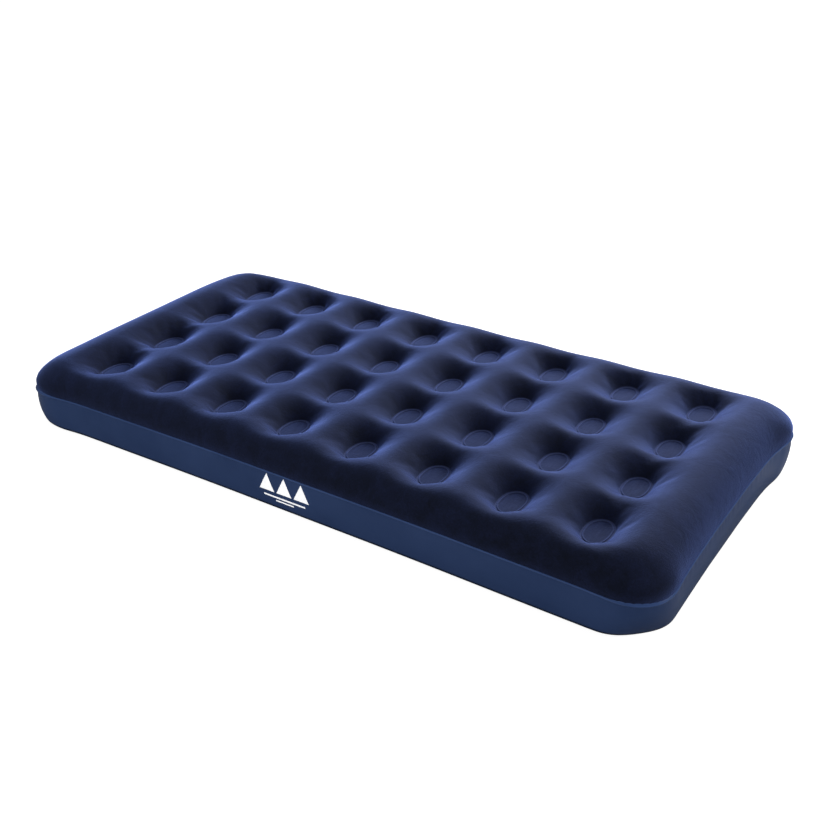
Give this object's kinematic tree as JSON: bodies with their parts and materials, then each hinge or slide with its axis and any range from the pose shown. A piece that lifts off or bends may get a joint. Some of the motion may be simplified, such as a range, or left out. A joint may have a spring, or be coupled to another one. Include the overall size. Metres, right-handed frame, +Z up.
{
  "type": "air mattress",
  "caption": "Single inflatable air mattress with a flocked dimpled top, vinyl side wall and bottom, inner coil beams and a screw-in valve with plug and non-return flap.",
  "frame": {"origin": "on the floor, under the middle of the mattress", "axes": "+X along the length, away from the valve end; +Y across the width; +Z up"},
  "size_m": [1.8877, 0.9, 0.2122],
  "materials": {
    "flock": "short velvety flock on vinyl, dark navy",
    "wall_vinyl": "smooth satin vinyl, navy",
    "bottom_vinyl": "matt vinyl, navy",
    "beam_vinyl": "thin matt vinyl, navy",
    "valve_plastic": "moulded soft plastic, navy",
    "plug_plastic": "moulded soft plastic, navy",
    "seal_rubber": "black rubber",
    "flap_rubber": "translucent white silicone"
  },
  "bodies": {
    "mattress": {"top_sheet": "flock", "side_wall": "wall_vinyl", "bottom_sheet": "bottom_vinyl", "coil_beam_01": "beam_vinyl", "coil_beam_02": "beam_vinyl", "coil_beam_03": "beam_vinyl", "coil_beam_04": "beam_vinyl", "coil_beam_05": "beam_vinyl", "coil_beam_06": "beam_vinyl", "coil_beam_07": "beam_vinyl", "coil_beam_08": "beam_vinyl", "coil_beam_09": "beam_vinyl", "coil_beam_10": "beam_vinyl", "coil_beam_11": "beam_vinyl", "coil_beam_12": "beam_vinyl", "coil_beam_13": "beam_vinyl", "coil_beam_14": "beam_vinyl", "coil_beam_15": "beam_vinyl", "coil_beam_16": "beam_vinyl", "coil_beam_17": "beam_vinyl", "coil_beam_18": "beam_vinyl", "coil_beam_19": "beam_vinyl", "coil_beam_20": "beam_vinyl", "coil_beam_21": "beam_vinyl", "coil_beam_22": "beam_vinyl", "coil_beam_23": "beam_vinyl", "coil_beam_24": "beam_vinyl", "coil_beam_25": "beam_vinyl", "coil_beam_26": "beam_vinyl", "coil_beam_27": "beam_vinyl", "coil_beam_28": "beam_vinyl", "coil_beam_29": "beam_vinyl", "coil_beam_30": "beam_vinyl", "coil_beam_31": "beam_vinyl", "coil_beam_32": "beam_vinyl", "valve_base": "valve_plastic"},
    "valve_seal": {"valve_gasket": "seal_rubber"},
    "valve_screw": {"valve_body": "valve_plastic", "flap_clamp": "valve_plastic"},
    "plug": {"inflation_plug": "plug_plastic"},
    "flap": {"check_flap": "flap_rubber"}
  },
  "joints": [
    {"name": "valve_lift", "type": "slide", "parent": "mattress", "child": "valve_seal", "axis": [-1, 0, 0], "range_m": [0, 0.0075]},
    {"name": "valve_turn", "type": "hinge", "parent": "valve_seal", "child": "valve_screw", "pos_m": [-0.9389, 0.24, 0.055], "axis": [-1, 0, 0], "range_deg": [0, 450]},
    {"name": "plug_flip", "type": "hinge", "parent": "valve_screw", "child": "plug", "pos_m": [-0.9468, 0.24, 0.075], "axis": [0, 1, 0], "range_deg": [0, 150]},
    {"name": "flap_open", "type": "hinge", "parent": "valve_screw", "child": "flap", "pos_m": [-0.9286, 0.24, 0.0638], "axis": [0, -1, 0], "range_deg": [0, 50], "stiffness_Nm_per_rad": 0.0003}
  ],
  "couplings": [
    {"joint": "valve_turn", "follows": "valve_lift", "rad_per_m": 1047.2}
  ]
}
